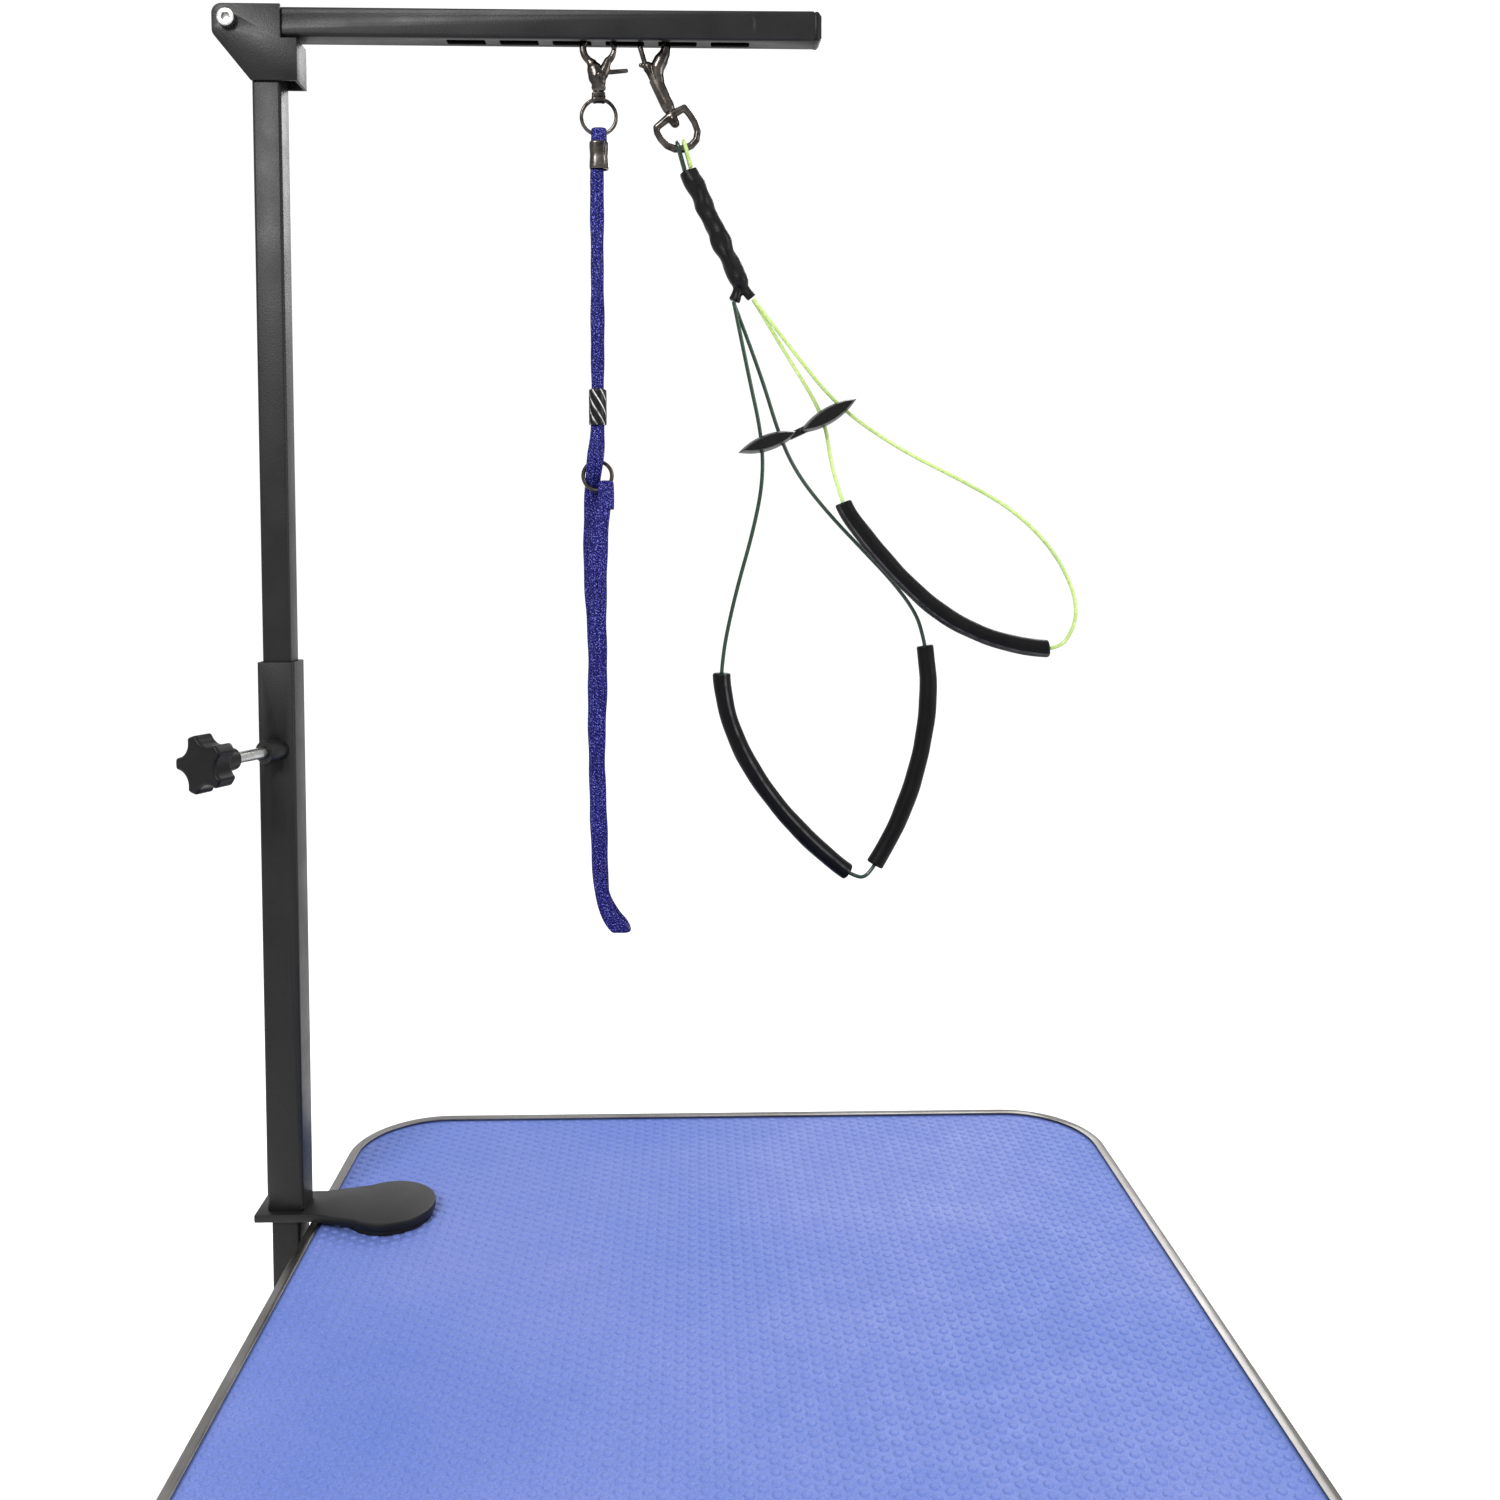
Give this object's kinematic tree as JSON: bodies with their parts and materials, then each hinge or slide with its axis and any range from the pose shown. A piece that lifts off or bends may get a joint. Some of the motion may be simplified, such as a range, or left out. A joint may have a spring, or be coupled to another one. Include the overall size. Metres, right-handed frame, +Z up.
{
  "type": "pet grooming table",
  "caption": "Folding pet grooming table with a bumped rubber top, a clamp-on height-adjustable arm, a cord noose and a padded haunch harness.",
  "frame": {"origin": "on the floor, under the middle of the whole object's box (the noose and the harness left out)", "axes": "+Z up, +Y along the table towards the end where the arm stands, +X across the table, from the arm's side to the other"},
  "size_m": [0.6768, 0.9518, 1.622],
  "materials": {
    "mat": "embossed satin",
    "board": "black laminate",
    "trim": "satin anodised",
    "black_steel": "fine-textured powder coat",
    "zinc": "zinc plated",
    "brass": "plain",
    "nickel": "dark nickel",
    "black_plastic": "moulded",
    "black_rubber": "moulded",
    "blue_cord": "braided",
    "light_cable": "coated",
    "dark_cable": "coated",
    "shrink_sleeve": "shrunk",
    "foam": "smooth skin"
  },
  "bodies": {
    "table": {"top_board": "board", "top_mat": "mat", "edge_trim": "trim", "side_rails": "black_steel", "cross_rails": "black_steel", "rail_end_caps": "black_plastic", "rail_screws": "zinc", "hinge_channels_front": "black_steel", "hinge_channels_rear": "black_steel", "leg_hinge_bolts": "zinc"},
    "front_leg_frame": {"front_legs": "black_steel", "front_crossbar": "black_steel", "front_feet": "black_rubber"},
    "rear_leg_frame": {"rear_legs": "black_steel", "rear_crossbar": "black_steel", "rear_feet": "black_rubber"},
    "arm_clamp": {"clamp_plate": "black_steel", "clamp_plate_pad": "black_rubber", "clamp_back": "black_steel", "clamp_jaw": "black_steel", "clamp_nut": "zinc", "outer_post": "black_steel", "lock_boss": "black_steel"},
    "clamp_foot": {"clamp_foot": "black_rubber"},
    "clamp_screw": {"clamp_screw": "zinc", "clamp_knob": "black_plastic"},
    "lock_tip": {"lock_tip": "brass"},
    "lock_screw": {"lock_screw": "zinc", "lock_knob": "black_plastic"},
    "mast": {"inner_post": "black_steel", "inner_post_cap": "black_steel", "inner_post_glide": "black_plastic", "arm_bracket": "black_steel", "arm_pivot_bolt": "zinc", "arm_pivot_nut": "zinc"},
    "top_arm": {"arm_tube": "black_steel", "arm_end_cap": "black_plastic"},
    "noose_snap": {"noose_snap": "nickel", "noose_snap_rivet": "nickel"},
    "noose_trigger": {"noose_snap_trigger": "nickel"},
    "noose": {"noose_swivel": "nickel", "noose_ring": "nickel", "noose_top_loop": "blue_cord", "noose_ferrule": "nickel", "noose_cord": "blue_cord", "noose_slip_ring": "nickel", "noose_tail_loop": "blue_cord"},
    "noose_slider": {"noose_slider": "black_plastic"},
    "harness_snap": {"harness_snap": "nickel"},
    "harness_bolt": {"harness_snap_bolt": "nickel"},
    "harness": {"harness_eye": "nickel", "harness_light_bight": "light_cable", "harness_dark_bight": "dark_cable", "harness_sleeve": "shrink_sleeve", "harness_light_cable": "light_cable", "harness_dark_cable": "dark_cable", "harness_slide_plate": "black_plastic", "harness_pad_a": "foam", "harness_pad_b": "foam", "harness_pad_c": "foam"}
  },
  "joints": [
    {"name": "rear_legs_fold", "type": "hinge", "parent": "table", "child": "rear_leg_frame", "pos_m": [0.03338, 0.4, 0.696], "axis": [-1, 0, 0], "range_deg": [0, 95]},
    {"name": "front_legs_fold", "type": "hinge", "parent": "table", "child": "front_leg_frame", "pos_m": [0.03338, -0.40263, 0.666], "axis": [1, 0, 0], "range_deg": [0, 95]},
    {"name": "clamp_along_edge", "type": "slide", "parent": "table", "child": "arm_clamp", "axis": [0, 1, 0], "range_m": [-0.58, 0.05]},
    {"name": "clamp_grip", "type": "slide", "parent": "arm_clamp", "child": "clamp_foot", "axis": [0, 0, -1], "range_m": [0, 0.034]},
    {"name": "clamp_knob_turn", "type": "hinge", "parent": "clamp_foot", "child": "clamp_screw", "pos_m": [-0.25061, 0.29, 0.61], "axis": [0, 0, -1], "continuous": true},
    {"name": "lock_press", "type": "slide", "parent": "arm_clamp", "child": "lock_tip", "axis": [-0.4226, -0.9063, 0], "range_m": [0, 0.006]},
    {"name": "lock_knob_turn", "type": "hinge", "parent": "lock_tip", "child": "lock_screw", "pos_m": [-0.28962, 0.277, 1.105], "axis": [-0.4226, -0.9063, 0], "continuous": true},
    {"name": "post_height", "type": "slide", "parent": "arm_clamp", "child": "mast", "axis": [0, 0, 1], "range_m": [-0.195, 0.1]},
    {"name": "arm_fold", "type": "hinge", "parent": "mast", "child": "top_arm", "pos_m": [-0.31461, 0.29, 1.611], "axis": [0, -1, 0], "range_deg": [0, 270]},
    {"name": "noose_snap_swing", "type": "hinge", "parent": "top_arm", "child": "noose_snap", "pos_m": [-0.06087, 0.29, 1.5978], "axis": [0, 1, 0], "range_deg": [-3, 12]},
    {"name": "noose_trigger_squeeze", "type": "hinge", "parent": "noose_snap", "child": "noose_trigger", "pos_m": [-0.05867, 0.29, 1.5788], "axis": [0, -1, 0], "range_deg": [0, 8], "stiffness_Nm_per_rad": 0.02, "springref_deg": -8.59},
    {"name": "noose_swivel_turn", "type": "hinge", "parent": "noose_snap", "child": "noose", "pos_m": [-0.06087, 0.29, 1.56], "axis": [0, 0, 1], "continuous": true},
    {"name": "noose_slider_slide", "type": "slide", "parent": "noose", "child": "noose_slider", "axis": [0, 0, 1], "range_m": [0, 0.15]},
    {"name": "harness_snap_swing", "type": "hinge", "parent": "top_arm", "child": "harness_snap", "pos_m": [-0.02397, 0.29, 1.5997], "axis": [0, -1, 0], "range_deg": [0, 45]},
    {"name": "harness_bolt_pull", "type": "slide", "parent": "harness_snap", "child": "harness_bolt", "axis": [0.2924, 0, -0.9563], "range_m": [0, 0.007], "stiffness_N_per_m": 150, "springref_m": -0.004},
    {"name": "harness_swivel_turn", "type": "hinge", "parent": "harness_snap", "child": "harness", "pos_m": [-0.02397, 0.29, 1.5997], "axis": [0.2924, 0, -0.9563], "range_deg": [-40, 40]}
  ],
  "couplings": [
    {"joint": "clamp_knob_turn", "follows": "clamp_grip", "rad_per_m": 4188.8},
    {"joint": "lock_knob_turn", "follows": "lock_press", "rad_per_m": 5026.5}
  ]
}
